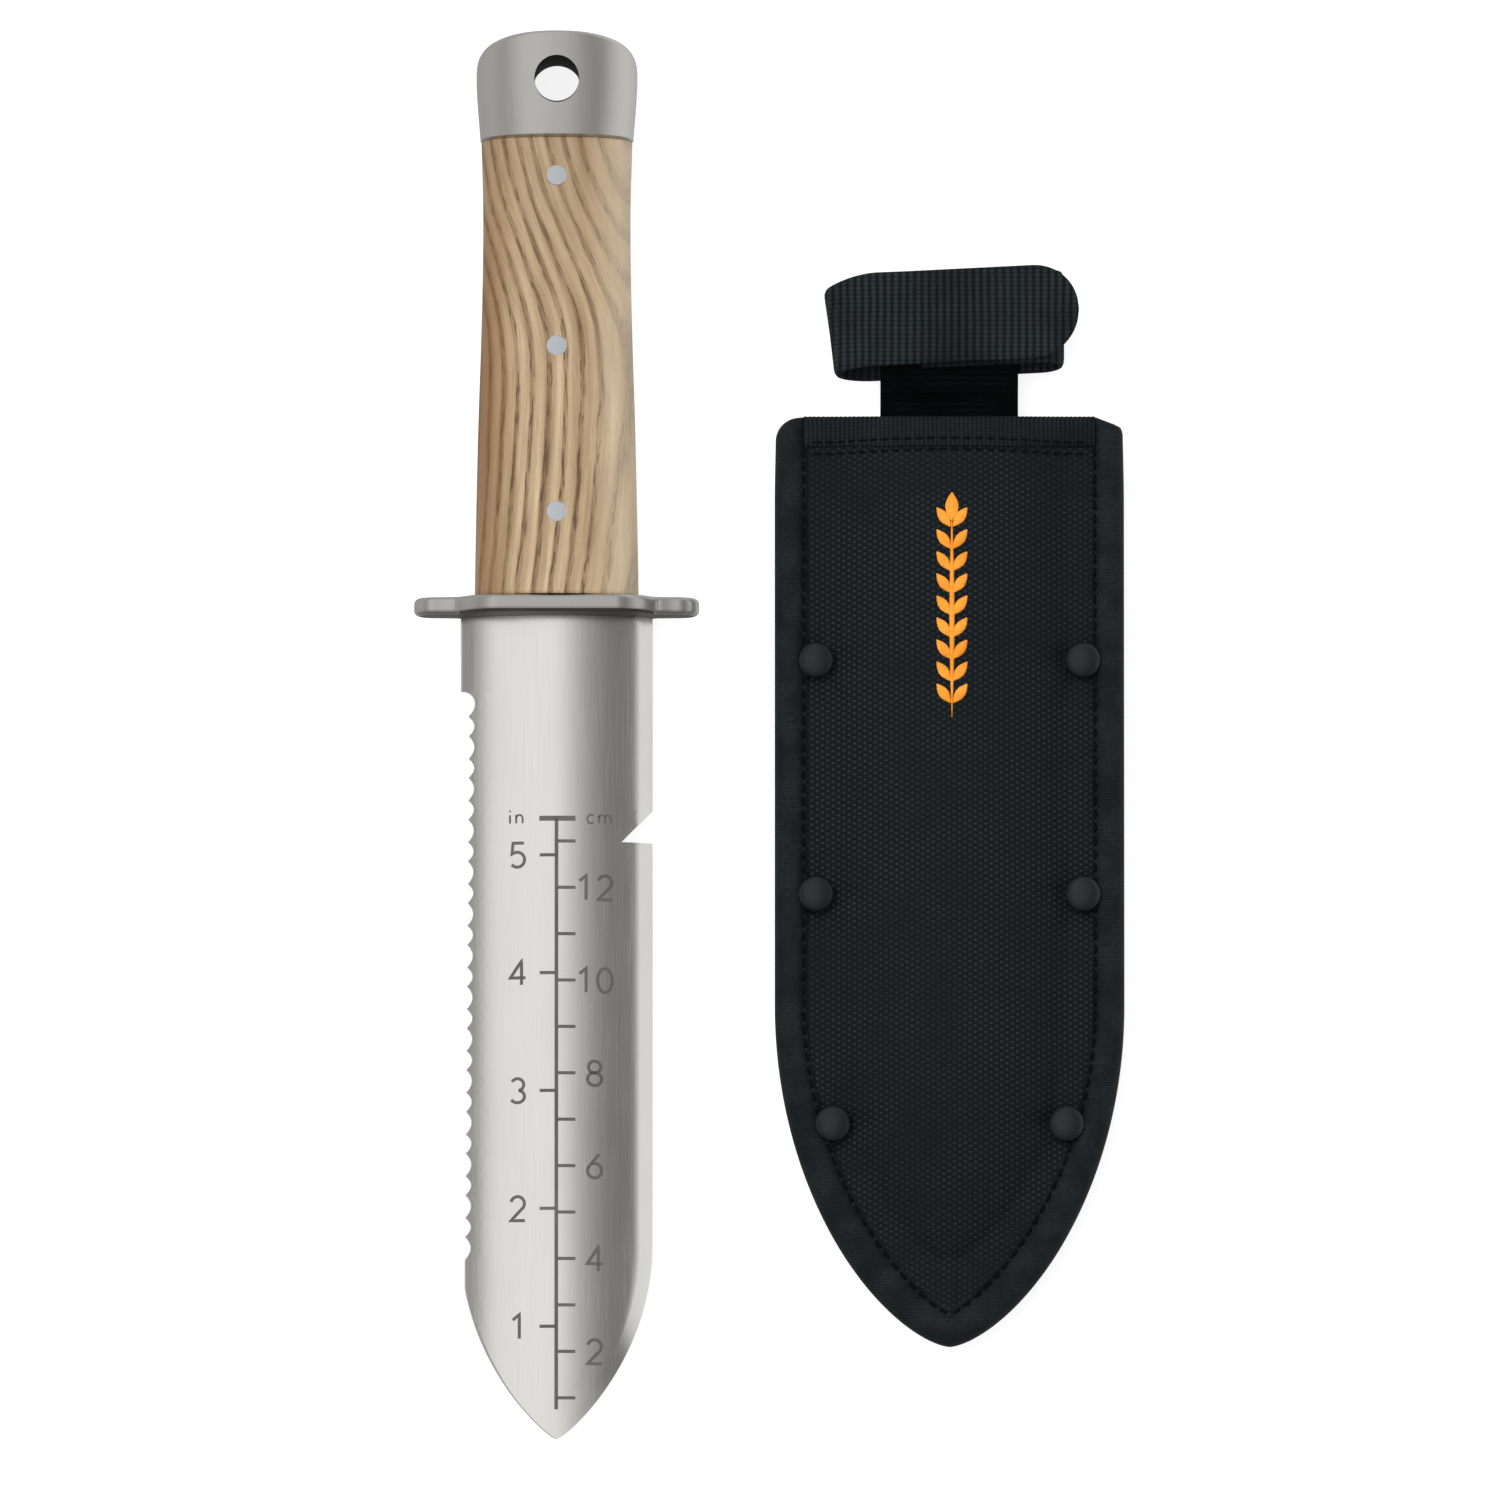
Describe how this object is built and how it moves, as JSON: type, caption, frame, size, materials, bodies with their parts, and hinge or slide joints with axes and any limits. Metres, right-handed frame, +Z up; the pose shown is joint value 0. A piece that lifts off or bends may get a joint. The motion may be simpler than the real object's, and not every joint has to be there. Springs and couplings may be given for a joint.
{
  "type": "hori hori knife with belt sheath",
  "caption": "Japanese digging knife with a dished blade, saw edge, twine notch, depth ruler, wooden scales and steel pommel, lying beside its riveted fabric belt sheath.",
  "frame": {"origin": "centre of the flat on the underside of the guard, where the knife rests", "axes": "+Z up with the knife and its sheath lying flat; +Y from the guard toward the pommel, so the blade's tip points to -Y; +X toward the sheath"},
  "size_m": [0.1524, 0.3033, 0.0232],
  "materials": {
    "blade_steel": "satin brushed stainless steel",
    "fitting_steel": "satin stainless steel",
    "ash_wood": "oiled ash with open grain",
    "nylon_panel": "black basket-weave nylon",
    "binding_tape": "black folded binding tape, soft",
    "webbing": "black ribbed nylon webbing",
    "hook_and_loop": "black hook and loop tape",
    "liner_plastic": "black sheet plastic, matte",
    "rivet_metal": "black enamelled domed rivet"
  },
  "bodies": {
    "knife": {"blade": "blade_steel", "guard": "fitting_steel", "scale_front": "ash_wood", "scale_rear": "ash_wood", "handle_pin_1": "fitting_steel", "handle_pin_2": "fitting_steel", "handle_pin_3": "fitting_steel", "pommel": "fitting_steel"},
    "sheath": {"back_panel": "nylon_panel", "front_panel": "nylon_panel", "liner_back": "liner_plastic", "liner_front": "liner_plastic", "edge_binding": "binding_tape", "mouth_binding_front": "webbing", "mouth_binding_back": "webbing", "belt_loop": "webbing", "retention_strap": "webbing", "hook_patch": "hook_and_loop", "rivet_cap_1": "rivet_metal", "rivet_back_1": "rivet_metal", "rivet_cap_2": "rivet_metal", "rivet_back_2": "rivet_metal", "rivet_cap_3": "rivet_metal", "rivet_back_3": "rivet_metal", "rivet_cap_4": "rivet_metal", "rivet_back_4": "rivet_metal", "rivet_cap_5": "rivet_metal", "rivet_back_5": "rivet_metal", "rivet_cap_6": "rivet_metal", "rivet_back_6": "rivet_metal"},
    "flap": {"strap_flap": "webbing", "loop_patch": "hook_and_loop"}
  },
  "joints": [
    {"name": "sheath_draw", "type": "slide", "parent": "knife", "child": "sheath", "axis": [0, -1, 0], "range_m": [0, 0.25]},
    {"name": "flap_open", "type": "hinge", "parent": "sheath", "child": "flap", "pos_m": [0.06655, 0.0616, 0.0206], "axis": [0, -1, 0], "range_deg": [0, 150]}
  ]
}
